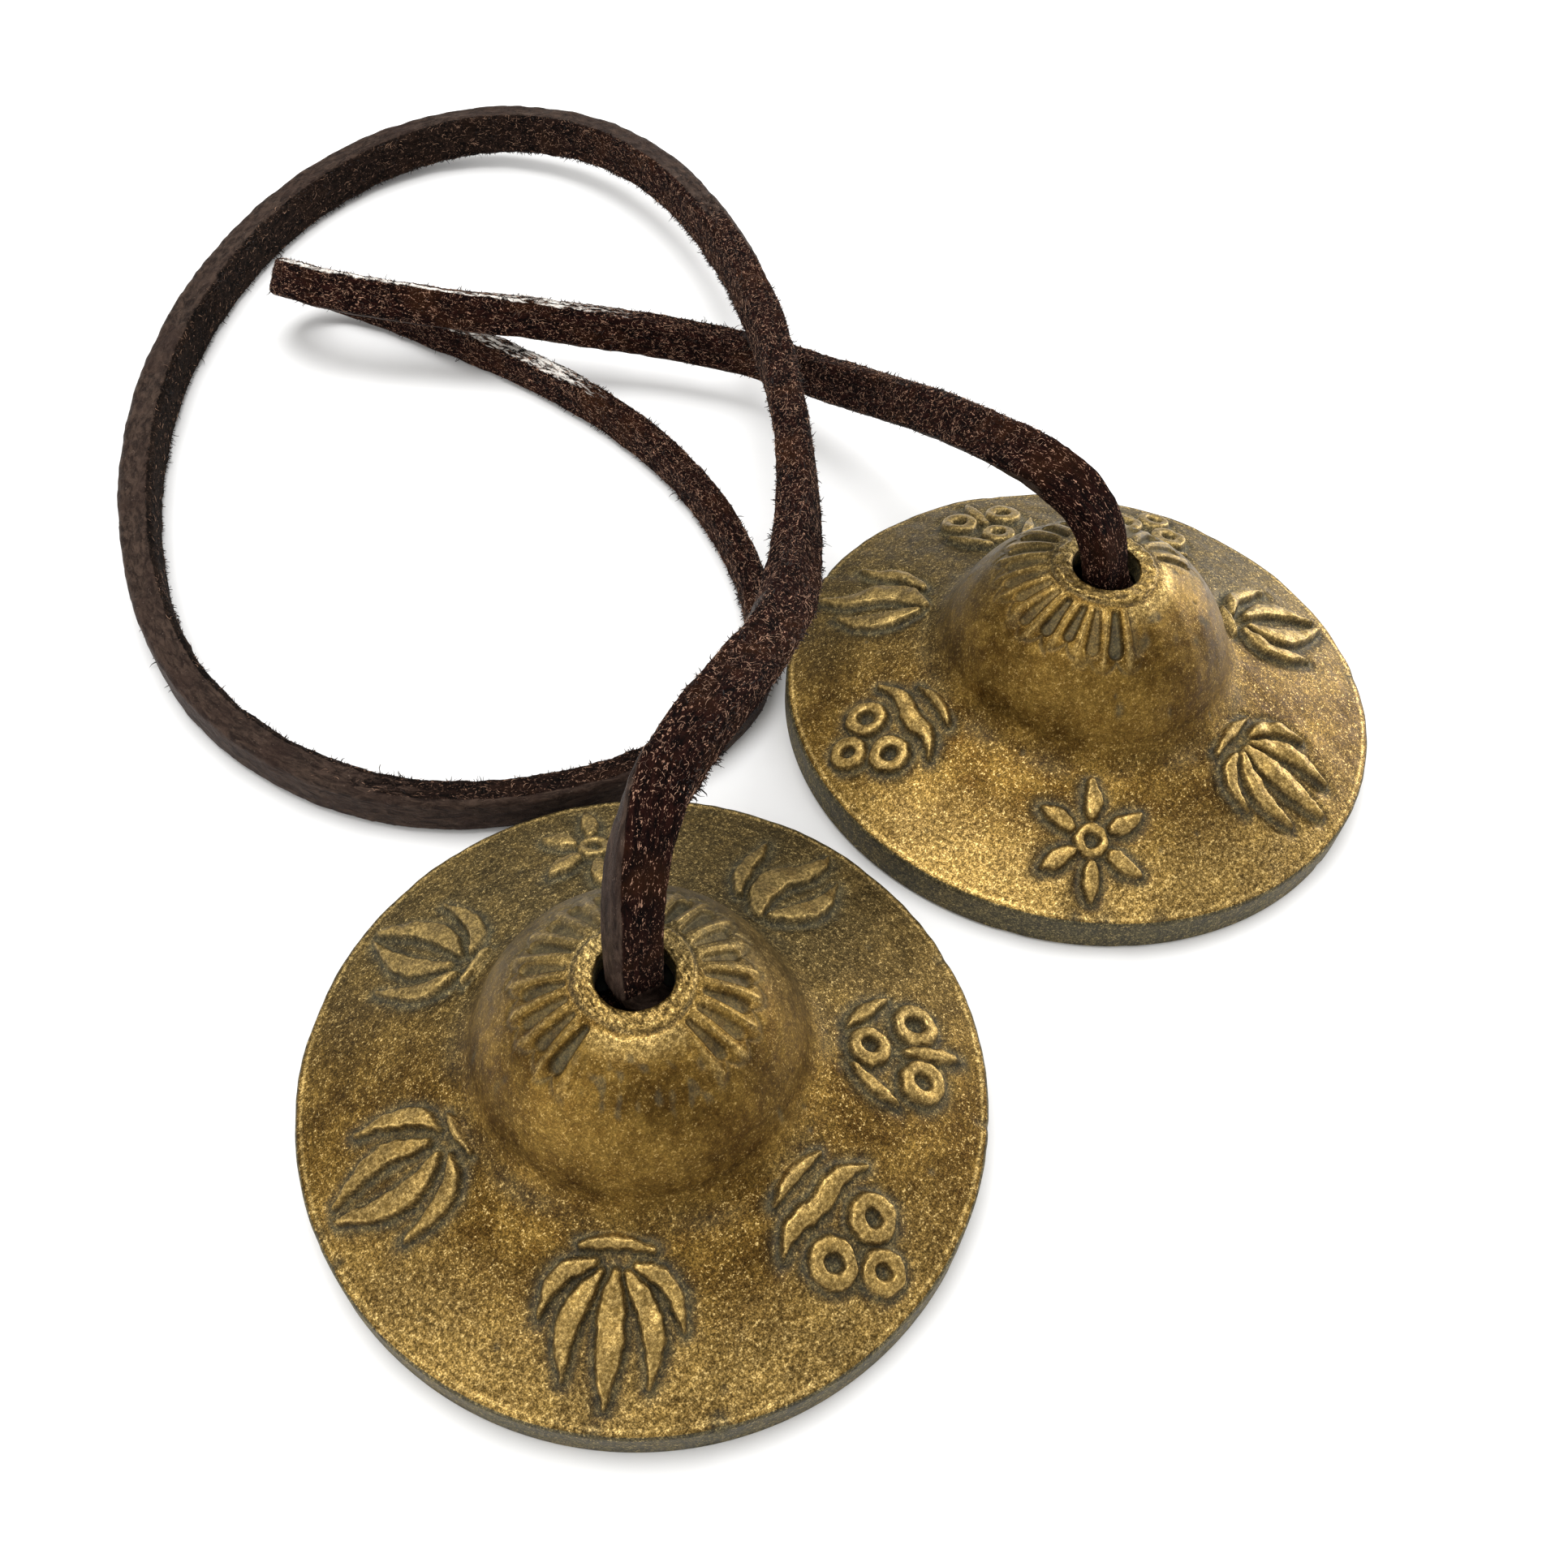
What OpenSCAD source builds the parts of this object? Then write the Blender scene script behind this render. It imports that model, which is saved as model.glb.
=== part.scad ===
// A pair of cast hand cymbals joined by one knotted leather thong.
// Millimetres. +X runs from the front cymbal to the rear cymbal, +Z is up.
// The origin is on the table, midway between the two cymbals.

/* [Cymbals] */
// Diameter of each cymbal at the rim
rim_d = 65; // [62:0.5:68]
// Overall height of each cymbal, rim face to top of the boss
cymbal_h = 23; // [22:0.5:25]
// Thickness of the rim band
rim_t = 4.4; // [3.5:0.1:5]
// Widest diameter of the hollow boss in the middle
boss_d = 31; // [30:0.5:33]
// Slope of the disc from the rim up to the boss, in degrees
disc_slope = 20; // [18:1:21]
// Wall thickness of the boss
wall = 2.9; // [2.5:0.1:3.2]
// Diameter of the hole that the thong passes through
hole_d = 7; // [6.8:0.1:7.6]
// Gap between the two rims as the pair lies
rim_gap = 3.5; // [3:0.5:5]

/* [Ornament] */
// Number of petals pressed round the hole
petal_count = 24; // [16:2:30]
// Height of the raised motifs above the disc
relief_h = 0.9; // [0.5:0.1:1.1]

/* [Thong] */
// Width of the leather thong
thong_w = 5; // [4.4:0.1:5]
// Thickness of the leather thong
thong_t = 3.6; // [3:0.1:3.6]
// Diameter of the knot under each boss
knot_d = 11.6; // [9:0.2:12]

/* [Hidden] */
bronze = [0.62, 0.50, 0.27];
leather = [0.25, 0.14, 0.10];
rim_r = rim_d / 2;
boss_r = boss_d / 2;
hole_r = hole_d / 2;
centre_x = rim_r + rim_gap / 2;

// Disc: a cone from the rim's top edge up to the fillet at the foot of the boss.
edge_r = 0.6;
fillet_r = 4;
disc_rise = tan(disc_slope);
function disc_z(r) = rim_t + (rim_r - edge_r - r) * disc_rise;

// Boss: an elliptical shoulder between the collar round the hole and the fillet, which it meets at foot_angle.
foot_angle = 15;
foot_r = boss_r - 0.3;
dome_x = 1.5;
collar_r = 5.4;
collar_h = 0.5;
lip_r = 0.5;
dome_rx = (foot_r - dome_x) / cos(foot_angle);
fillet_x = foot_r + fillet_r * cos(foot_angle);
foot_z = disc_z(fillet_x) + fillet_r / cos(disc_slope) - fillet_r * sin(foot_angle);
dome_full = sqrt(1 - pow((collar_r - dome_x) / dome_rx, 2));
dome_rz = (cymbal_h - collar_h - foot_z) / (dome_full - sin(foot_angle));
dome_zc = foot_z - dome_rz * sin(foot_angle);
fillet_z = foot_z + fillet_r * sin(foot_angle);
function dome_z(r) = dome_zc + dome_rz * sqrt(1 - pow((r - dome_x) / dome_rx, 2));

// Underside: a flat land under the rim, an undercut, a cone and the hollow of the boss.
land_r = 28.8;
undercut_r = 26.5;
undercut_z = 1.9;
mouth_r = 14.4;
mouth_z = 7.4;
hollow_foot_z = 10;
roof_t = 2.4;
hollow_rx = boss_r - wall - dome_x;
hollow_rz = cymbal_h - roof_t - hollow_foot_z;
hollow_end_r = hole_r + 0.4;

function arc(cx, cz, rx, rz, from, to, n) =
    [for (i = [0 : n]) let (a = from + (to - from) * i / n) [cx + rx * cos(a), cz + rz * sin(a)]];

module cymbal_profile() {
    outside = concat(
        arc(hole_r + lip_r, cymbal_h - lip_r, lip_r, lip_r, 180, 90, 3),
        [[collar_r - collar_h, cymbal_h]],
        arc(dome_x, dome_zc, dome_rx, dome_rz, acos((collar_r - dome_x) / dome_rx), foot_angle, 12),
        arc(fillet_x, fillet_z, fillet_r, fillet_r, 180 + foot_angle, 270 - disc_slope, 6),
        arc(rim_r - edge_r, rim_t - edge_r, edge_r, edge_r, 90, 0, 4),
        arc(rim_r - 0.4, 0.4, 0.4, 0.4, 0, -90, 3));
    inside = concat(
        [[land_r, 0], [undercut_r, undercut_z], [mouth_r, mouth_z]],
        arc(dome_x, hollow_foot_z, hollow_rx, hollow_rz, 0, acos((hollow_end_r - dome_x) / hollow_rx), 10),
        [[hole_r, hollow_foot_z + hollow_rz]]);
    polygon(concat(outside, inside));
}

// Smooth curve through the neighbourhood of a list of points (uniform cubic B-spline).
// u counts points: u = 0 is the first point and u = len(p) - 1 is the last.
function at(p, i) =
    i < 0 ? 2 * p[0] - p[1] :
    i > len(p) - 1 ? 2 * p[len(p) - 1] - p[len(p) - 2] : p[i];
function curve(p, u) =
    let (i = min(floor(u), len(p) - 2), t = u - i)
    (pow(1 - t, 3) * at(p, i - 1) + (3 * pow(t, 3) - 6 * t * t + 4) * at(p, i)
    + (-3 * pow(t, 3) + 3 * t * t + 3 * t + 1) * at(p, i + 1) + pow(t, 3) * at(p, i + 2)) / 6;

// Raised strokes of the motifs: points are [across, outwards, half width].
lotus = [
    [[0, -3.4, 0.5], [0, -0.6, 1.4], [0, 2.6, 1.15], [0, 5.6, 0.15]],
    [[1.1, -3.4, 0.4], [3.0, -1.3, 1.15], [3.8, 1.2, 0.95], [3.5, 4.0, 0.15]],
    [[-1.1, -3.4, 0.4], [-3.0, -1.3, 1.15], [-3.8, 1.2, 0.95], [-3.5, 4.0, 0.15]],
    [[1.8, -4.0, 0.4], [4.0, -3.5, 0.9], [5.3, -2.0, 0.7], [5.9, 0, 0.15]],
    [[-1.8, -4.0, 0.4], [-4.0, -3.5, 0.9], [-5.3, -2.0, 0.7], [-5.9, 0, 0.15]],
    [[-3.0, -5.2, 0.25], [0, -5.7, 0.8], [3.0, -5.2, 0.25]]];
bud = [
    [[-0.6, -3.6, 0.4], [-2.3, -0.8, 1.3], [-1.9, 2.2, 1.1], [-0.1, 6.0, 0.15]],
    [[0.9, -3.4, 0.4], [2.3, -0.6, 1.2], [2.2, 2.0, 1.0], [0.8, 5.4, 0.15]],
    [[-1.2, -4.6, 0.3], [-3.6, -3.9, 1.0], [-4.9, -1.6, 0.85], [-5.3, 1.4, 0.15]],
    [[1.4, -4.6, 0.3], [3.8, -3.7, 1.0], [5.0, -1.2, 0.85], [5.6, 1.8, 0.15]],
    [[-2.0, -6.0, 0.2], [0.2, -5.9, 0.8], [2.2, -5.7, 0.2]]];
flame = [
    [[0.2, -5.6, 0.5], [-1.7, -3.0, 1.5], [-1.4, 0.2, 1.45], [0.8, 2.8, 1.0], [0.2, 6.0, 0.15]],
    [[1.2, -5.0, 0.5], [3.1, -2.6, 1.3], [3.9, 0.2, 0.95], [3.1, 3.2, 0.15]],
    [[-2.8, -4.6, 0.4], [-4.8, -1.9, 1.0], [-4.6, 0.9, 0.7], [-5.4, 3.4, 0.15]]];
cloud = [
    [[-5.4, -2.0, 0.2], [-2.7, -3.5, 1.0], [0, -2.3, 1.0], [2.7, -3.5, 1.0], [5.4, -2.0, 0.2]],
    [[-3.2, -5.2, 0.2], [-0.4, -5.8, 0.8], [2.8, -5.0, 0.2]]];
cloud_rings = [[-2.6, 0.8, 2.2, 0.75], [2.6, 0.8, 2.2, 0.75], [0, 3.9, 2.0, 0.65]];
berries = [
    [[0, 5.2, 0.2], [0, 2.9, 0.95], [0, 0.4, 0.5]],
    [[-1.8, -4.6, 0.2], [-3.7, -3.0, 0.95], [-5.2, -0.9, 0.15]],
    [[1.8, -4.6, 0.2], [3.7, -3.0, 0.95], [5.2, -0.9, 0.15]]];
berry_rings = [[-2.8, 1.4, 2.2, 0.8], [2.8, 1.4, 2.2, 0.8], [0, -2.9, 2.0, 0.7]];
rosette_ring = [[0, 0, 1.8, 0.7]];
rosette_petal = [[0, 2.3, 0.6], [0.15, 3.7, 1.2], [0, 5.5, 0.3]];
rosette_petals = 6;
stroke_steps = 7;
ring_sides = 32;
turned_sides = 120;

// Motifs are drawn small and stretched towards the rim, which leaves the width of their strokes as it is.
motif_stretch = [1.03, 1.1, 1];
function stretched(p) = [for (v = p) [v[0] * motif_stretch[0], v[1] * motif_stretch[1], v[2]]];
function stroke_side(drawn, side) =
    let (p = stretched(drawn))
    [for (k = [0 : stroke_steps])
        let (u = (len(p) - 1) * k / stroke_steps, c = curve(p, u),
             d = curve(p, min(u + 0.05, len(p) - 1)) - curve(p, max(u - 0.05, 0)),
             n = [-d[1], d[0]] / norm([d[0], d[1]]))
        [c[0] + side * n[0] * c[2], c[1] + side * n[1] * c[2]]];
function flipped(points) = [for (i = [len(points) - 1 : -1 : 0]) points[i]];

// Posts of the plan shape, tall enough to cut through the raised skin.
module strokes(list) {
    for (p = list)
        linear_extrude(cymbal_h) polygon(concat(stroke_side(p, 1), flipped(stroke_side(p, -1))));
}
module rings(list) {
    for (e = list) translate([e[0] * motif_stretch[0], e[1] * motif_stretch[1], 0]) difference() {
        cylinder(h = cymbal_h, r = e[2], $fn = ring_sides);
        translate([0, 0, -1]) cylinder(h = cymbal_h + 2, r = e[3], $fn = ring_sides);
    }
}
module motif(kind) {
    if (kind == "lotus") strokes(lotus);
    if (kind == "bud") strokes(bud);
    if (kind == "flame") strokes(flame);
    if (kind == "cloud") {
        strokes(cloud);
        rings(cloud_rings);
    }
    if (kind == "berries") {
        strokes(berries);
        rings(berry_rings);
    }
    if (kind == "rosette") {
        rings(rosette_ring);
        for (k = [0 : rosette_petals - 1]) rotate(k * 360 / rosette_petals) strokes([rosette_petal]);
    }
}

// Motifs round each disc, as [direction, kind, mirrored].
front_motifs = [
    [163, "bud", 0], [220, "lotus", 0], [272, "cloud", 0], [316, "berries", 0],
    [7, "flame", 0], [57, "rosette", 0], [106, "bud", 1]];
rear_motifs = [
    [219, "rosette", 0], [274, "lotus", 0], [329, "bud", 1], [16, "cloud", 0],
    [62, "berries", 0], [110, "flame", 1], [158, "cloud", 0]];
motif_r = rim_r - 8.3;
skin_in = 17.6;
skin_out = rim_r - 1.4;
skin_root = 0.6;

// The thin raised skin over the disc that the motifs are cut from.
module raised_skin() {
    rotate_extrude($fn = turned_sides) polygon([
        [skin_in, disc_z(skin_in) - skin_root], [skin_out, disc_z(skin_out) - skin_root],
        [skin_out, disc_z(skin_out) + relief_h], [skin_in, disc_z(skin_in) + relief_h]]);
}
module relief(motifs) {
    intersection() {
        raised_skin();
        for (m = motifs)
            rotate(m[0] - 90) translate([0, motif_r, 0]) mirror([m[2], 0, 0]) motif(m[1]);
    }
}

petal_in = 6.0;
petal_out = 10.4;
groove_r = 0.42;
// Grooves between the petals follow the slope of the shoulder.
module petal_grooves() {
    drop = dome_z(petal_in) - dome_z(petal_out);
    run = petal_out - petal_in;
    for (k = [0 : petal_count - 1])
        rotate(k * 360 / petal_count) translate([petal_in, 0, dome_z(petal_in) + 0.08])
            rotate([0, 90 + atan(drop / run), 0])
                cylinder(h = norm([drop, run]), r1 = groove_r * 0.6, r2 = groove_r, $fn = 16);
}

module cymbal(x, motifs) {
    color(bronze) translate([x, 0, 0]) difference() {
        union() {
            rotate_extrude($fn = turned_sides) cymbal_profile();
            relief(motifs);
        }
        petal_grooves();
    }
}

// Route of the thong: a stretch that follows each cymbal's hole, and the loop that lies between them.
// Each lead is given from the top of its own hole, and the loop from the origin.
front_lead = [[0, 0, -1], [0.45, 0.5, 5], [2.45, 2, 10.5]];
loop = [
    [-26.5, 5, 37], [-14.9, 8.9, 35], [0.3, 14.9, 28], [13, 24, 22.5], [26.2, 35.3, 19.5],
    [47.6, 58.9, 15.8], [64.5, 85, 11.5], [73, 105, 9], [75.5, 125, 6.5], [67.5, 143, 4.5],
    [49, 151, 3], [26, 147, 2.6], [2, 133.5, 2.6], [-17, 115, 2.6], [-31, 93, 2.6],
    [-38.5, 70, 2.6], [-34, 46.5, 2.6], [-20, 31.5, 2.6], [-2, 24, 2.6], [12, 25.5, 2.6],
    [25, 41, 2.6], [32.5, 63, 2.6], [32.5, 86, 2.6], [28, 106, 2.6], [25, 120.5, 2.6],
    [20, 127, 4.8], [14.5, 125, 9.8], [14, 117.5, 12.3], [20, 108, 10.8], [36, 89.5, 8.7],
    [51, 68, 7], [51, 49, 10.5], [42.5, 30, 22]];
rear_lead = [[0.25, 14, 7.5], [-1.05, 5.5, 8.5], [-0.45, 1.2, 4.5], [0, 0, -1]];

// The loop spreads with the distance between the cymbals.
rest_centre_x = 34.25;
spread = centre_x / rest_centre_x;
route = concat(
    [for (p = front_lead) p + [-centre_x, 0, cymbal_h]],
    [for (p = loop) [p[0] * spread, p[1] * spread, p[2]]],
    [for (p = rear_lead) p + [centre_x, 0, cymbal_h]]);
last = len(route) - 1;

// Direction of the thong's wide side along the route, as [point number, value] tables.
// The leather lies across the front hole, then turns to stand on its edge.
wide_x = [[0, -0.97], [3, -0.97], [8, 0], [27, 0], [28, 0.6], [31, 0.6], [33, 0], [36, 0.6], [38, 1]];
wide_y = [[0, 0.24], [3, 0.24], [8, 0], [27, 0], [28, 0.2], [31, 0.2], [33, 0], [38, 0]];
wide_z = [[0, 0], [3, 0], [8, 1], [27, 1], [28, 0.75], [31, 0.75], [33, 1], [36, 0.6], [38, 0]];

// Section: a rectangle with its corners cut, as [across the width, across the thickness].
corner = 0.9;
half_w = thong_w / 2;
half_t = thong_t / 2;
section = [
    [half_w, half_t - corner], [half_w - corner, half_t],
    [corner - half_w, half_t], [-half_w, half_t - corner],
    [-half_w, corner - half_t], [corner - half_w, -half_t],
    [half_w - corner, -half_t], [half_w, corner - half_t]];
sides = len(section);

function unit(v) = v / norm(v);
heading_step = 0.02;
function heading(u) =
    unit(curve(route, min(u + heading_step, last)) - curve(route, max(u - heading_step, 0)));
function ring(u) =
    let (c = curve(route, u), t = heading(u),
         w = [lookup(u, wide_x), lookup(u, wide_y), lookup(u, wide_z)],
         wide = unit(w - (w * t) * t), thin = cross(t, wide))
    [for (s = section) c + wide * s[0] + thin * s[1]];

// A closed tube along the route, from one point number to another.
module tube(from, to, rings) {
    points = [for (k = [0 : rings]) each ring(from + (to - from) * k / rings)];
    walls = [for (k = [0 : rings - 1]) for (s = [0 : sides - 1])
        let (a = k * sides + s, b = k * sides + (s + 1) % sides)
        each [[a, b, b + sides], [a, b + sides, a + sides]]];
    start_cap = [for (s = [1 : sides - 2]) [0, s + 1, s]];
    end_cap = [for (s = [1 : sides - 2])
        [rings * sides, rings * sides + s, rings * sides + s + 1]];
    polyhedron(points, concat(walls, start_cap, end_cap));
}

// The leather bends just above each hole. A ball there keeps both stretches apart as it bends.
bend_front = 1;
bend_rear = last - 1;
ball_gap = 2.2;
speed_step = 0.4;
function speed(u, way) = norm(curve(route, u + way * speed_step) - curve(route, u)) / speed_step;
thong_start = bend_front + ball_gap / speed(bend_front, 1);
thong_end = bend_rear - ball_gap / speed(bend_rear, -1);
thong_rings = 78;

module thong() {
    color(leather) tube(thong_start, thong_end, thong_rings);
}

// Straight stretch through a hole. Its own axis runs from just inside the hole's top to the bend.
hole_aim_z = cymbal_h - 0.7;
tail_trim = 0.3;
knot_drop = 12.6;
knot_r = knot_d / 2;
knot_half_h = 4.2;
knot_flat = 3.5;
tail_len = 9;
module on_axis(side, bend) {
    p = curve(route, bend);
    axis = unit(p - [side * centre_x, 0, hole_aim_z]);
    translate(p) rotate([0, acos(axis[2]), atan2(axis[1], axis[0])]) children();
}
module neck(side, bend, flat_turn) {
    color(leather) on_axis(side, bend) union() {
        sphere(d = thong_t, $fn = 32);
        translate([0, 0, knot_flat - knot_drop]) rotate(flat_turn)
            linear_extrude(knot_drop - knot_flat) polygon(section);
    }
}
// A knot drawn tight below the hole, with the cut end of the thong standing out of its side.
module knot(side, bend, tail_turn) {
    half_tail = thong_w / 2 - tail_trim;
    flat_angle = asin(knot_flat / knot_half_h);
    color(leather) on_axis(side, bend) translate([0, 0, -knot_drop]) union() {
        rotate_extrude($fn = 64) polygon(concat(
            arc(0, 0, knot_r, knot_half_h, -90, flat_angle, 12), [[0, knot_flat]]));
        rotate(tail_turn) translate([0, -half_tail, -half_t])
            cube([tail_len, half_tail * 2, thong_t]);
    }
}

module cymbal_front() { cymbal(-centre_x, front_motifs); }
module cymbal_rear() { cymbal(centre_x, rear_motifs); }
module neck_front() { neck(-1, bend_front, 123); }
module neck_rear() { neck(1, bend_rear, -105); }
module knot_front() { knot(-1, bend_front, 10); }
module knot_rear() { knot(1, bend_rear, 20); }

cymbal_front();
cymbal_rear();
thong();
neck_front();
neck_rear();
knot_front();
knot_rear();
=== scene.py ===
"""A pair of cast hand cymbals joined by a leather thong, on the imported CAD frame. Lengths in millimetres."""
import math

import bpy
import numpy as np
from mathutils import Matrix, Vector


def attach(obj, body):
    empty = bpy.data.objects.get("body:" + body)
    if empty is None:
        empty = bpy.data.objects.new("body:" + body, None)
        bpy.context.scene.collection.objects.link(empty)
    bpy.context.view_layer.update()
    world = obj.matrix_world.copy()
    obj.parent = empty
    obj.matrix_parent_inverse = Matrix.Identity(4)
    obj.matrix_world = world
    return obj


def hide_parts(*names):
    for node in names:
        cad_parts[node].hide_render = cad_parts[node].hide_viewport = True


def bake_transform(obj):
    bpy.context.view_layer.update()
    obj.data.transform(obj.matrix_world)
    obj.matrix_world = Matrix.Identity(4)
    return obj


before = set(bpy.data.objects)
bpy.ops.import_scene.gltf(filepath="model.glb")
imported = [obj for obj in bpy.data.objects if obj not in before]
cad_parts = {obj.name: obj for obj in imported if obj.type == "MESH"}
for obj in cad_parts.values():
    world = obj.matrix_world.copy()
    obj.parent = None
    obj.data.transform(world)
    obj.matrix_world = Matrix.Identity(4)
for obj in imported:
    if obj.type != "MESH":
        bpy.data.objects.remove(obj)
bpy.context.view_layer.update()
MM = 0.001
CENTRES = {"front": -34.25, "rear": 34.25}


def smooth(x, low, high):
    """0 below low, 1 above high, with a soft step between. low may be the larger one."""
    t = np.clip((np.asarray(x, float) - low) / (high - low), 0.0, 1.0)
    return t * t * (3 - 2 * t)


# ---------------------------------------------------------------- camera
CAM_AT = np.array([-74.98, -47.87, 130.08])
CAM_AIM = np.array([-5.07, 24.39, 0.0])
CAM_ROLL = math.radians(-1.26)
CAM_LENS, CAM_SENSOR, CAM_SHIFT_X = 33.54, 36.0, 0.0678


def make_camera():
    data = bpy.data.cameras.new("camera")
    data.sensor_width = CAM_SENSOR
    data.lens = CAM_LENS
    data.shift_x = CAM_SHIFT_X
    data.clip_start = 0.01
    data.clip_end = 20.0
    ahead = (CAM_AIM - CAM_AT) / np.linalg.norm(CAM_AIM - CAM_AT)
    side = np.cross(ahead, [0, 0, 1])
    side /= np.linalg.norm(side)
    up = np.cross(side, ahead)
    c, s = math.cos(CAM_ROLL), math.sin(CAM_ROLL)
    right, top = side * c + up * s, up * c - side * s
    m = Matrix([[right[k], top[k], -ahead[k], CAM_AT[k] * MM] for k in range(3)] + [[0, 0, 0, 1]])
    cam = bpy.data.objects.new("camera", data)
    cam.matrix_world = m
    bpy.context.scene.collection.objects.link(cam)
    bpy.context.scene.camera = cam


make_camera()


# ---------------------------------------------------------------- route of the thong
ROUTE_M = [
    (-0.03425, 0, 0.022), (-0.0338, 0.0005, 0.028), (-0.0318, 0.002, 0.0335), (-0.0265, 0.005, 0.037),
    (-0.0149, 0.0089, 0.035), (0.0003, 0.0149, 0.028), (0.013, 0.024, 0.0225), (0.0262, 0.0353, 0.0195),
    (0.0476, 0.0589, 0.0158), (0.0645, 0.085, 0.0115), (0.073, 0.105, 0.009), (0.0755, 0.125, 0.0065),
    (0.0675, 0.143, 0.0045), (0.049, 0.151, 0.003), (0.026, 0.147, 0.0026), (0.002, 0.1335, 0.0026),
    (-0.017, 0.115, 0.0026), (-0.031, 0.093, 0.0026), (-0.0385, 0.070, 0.0026), (-0.034, 0.0465, 0.0026),
    (-0.020, 0.0315, 0.0026), (-0.002, 0.024, 0.0026), (0.012, 0.0255, 0.0026), (0.025, 0.041, 0.0026),
    (0.0325, 0.063, 0.0026), (0.0325, 0.086, 0.0026), (0.028, 0.106, 0.0026), (0.025, 0.1205, 0.0026),
    (0.020, 0.127, 0.0048), (0.0145, 0.125, 0.0098), (0.014, 0.1175, 0.0123), (0.020, 0.108, 0.0108),
    (0.036, 0.0895, 0.0087), (0.051, 0.068, 0.007), (0.051, 0.049, 0.0105), (0.0425, 0.030, 0.022),
    (0.0345, 0.014, 0.0305), (0.0332, 0.0055, 0.0315), (0.0338, 0.0012, 0.0275), (0.03425, 0, 0.022)]
ROUTE = np.array(ROUTE_M) / MM
LAST = len(ROUTE) - 1


def b_spline(padded, u):
    """Points of a uniform cubic B-spline at the point numbers u. padded has one extra point at each end."""
    i = np.minimum(np.floor(u).astype(int), len(padded) - 4)
    t = (u - i)[:, None]
    a, b, c, d = padded[i], padded[i + 1], padded[i + 2], padded[i + 3]
    return ((1 - t) ** 3 * a + (3 * t**3 - 6 * t**2 + 4) * b
            + (-3 * t**3 + 3 * t**2 + 3 * t + 1) * c + t**3 * d) / 6


def with_ends(points):
    """Control points with one more at each end, so that the curve starts and ends on the given ones."""
    return np.vstack([2 * points[0] - points[1], points, 2 * points[-1] - points[-2]])


def on_route(u):
    return b_spline(PADDED, np.atleast_1d(np.asarray(u, float)))


PADDED = with_ends(ROUTE)
FINE_U = np.linspace(0, LAST, 4000)
FINE_P = on_route(FINE_U)
FINE_S = np.r_[0, np.cumsum(np.linalg.norm(np.diff(FINE_P, axis=0), axis=1))]
ROUTE_LENGTH = FINE_S[-1]


def u_of(s):
    """Point number at a length along the route."""
    return np.interp(s, FINE_S, FINE_U)


def lookup(u, rows):
    """Columns of a [[u, value, value ...]] table at u."""
    rows = np.array(rows, float)
    return np.stack([np.interp(u, rows[:, 0], rows[:, k]) for k in range(1, rows.shape[1])], 1)


# ---------------------------------------------------------------- meshes
def make_mesh(name, verts, quads, tris=None, attributes=None, normals=None):
    """A mesh object from arrays in millimetres. attributes maps a name to one value or vector a vertex."""
    me = bpy.data.meshes.new(name)
    loops = [np.asarray(quads, np.int32).ravel()]
    starts = [np.arange(len(quads)) * 4]
    if tris is not None and len(tris):
        loops.append(np.asarray(tris, np.int32).ravel())
        starts.append(len(quads) * 4 + np.arange(len(tris)) * 3)
    loops, starts = np.concatenate(loops), np.concatenate(starts).astype(np.int32)
    me.vertices.add(len(verts))
    me.vertices.foreach_set("co", (np.asarray(verts) * MM).astype(np.float32).ravel())
    me.loops.add(len(loops))
    me.loops.foreach_set("vertex_index", loops)
    me.polygons.add(len(starts))
    me.polygons.foreach_set("loop_start", starts)
    me.update(calc_edges=True)
    me.validate()
    me.shade_smooth()
    for key, value in (attributes or {}).items():
        value = np.asarray(value, np.float32)
        if value.ndim == 1:
            me.attributes.new(key, "FLOAT", "POINT").data.foreach_set("value", value)
        else:
            me.attributes.new(key, "FLOAT_VECTOR", "POINT").data.foreach_set("vector", value.ravel())
    if normals is not None:
        me.normals_split_custom_set_from_vertices(np.asarray(normals, np.float32).tolist())
    obj = bpy.data.objects.new(name, me)
    bpy.context.scene.collection.objects.link(obj)
    return obj


def grid_faces(rows, cols, close_rows=False):
    """Quads of a grid that is closed around its columns, and around its rows if asked."""
    i = np.arange(rows if close_rows else rows - 1)[:, None]
    j = np.arange(cols)[None, :]
    i2, j2 = (i + 1) % rows, (j + 1) % cols
    return np.stack([i * cols + j, i * cols + j2, i2 * cols + j2, i2 * cols + j], -1).reshape(-1, 4)


def waves(p, rng, count, size, spread=0.5):
    """Soft irregular values around 0, about -1 to 1, from a few waves of roughly that size in millimetres."""
    out = np.zeros(len(p))
    for _ in range(count):
        k = rng.normal(size=3)
        k *= 2 * math.pi / (size * (1 + spread * rng.uniform(-1, 1))) / np.linalg.norm(k)
        out += np.sin(p @ k + rng.uniform(0, 2 * math.pi))
    return out / math.sqrt(count)


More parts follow.
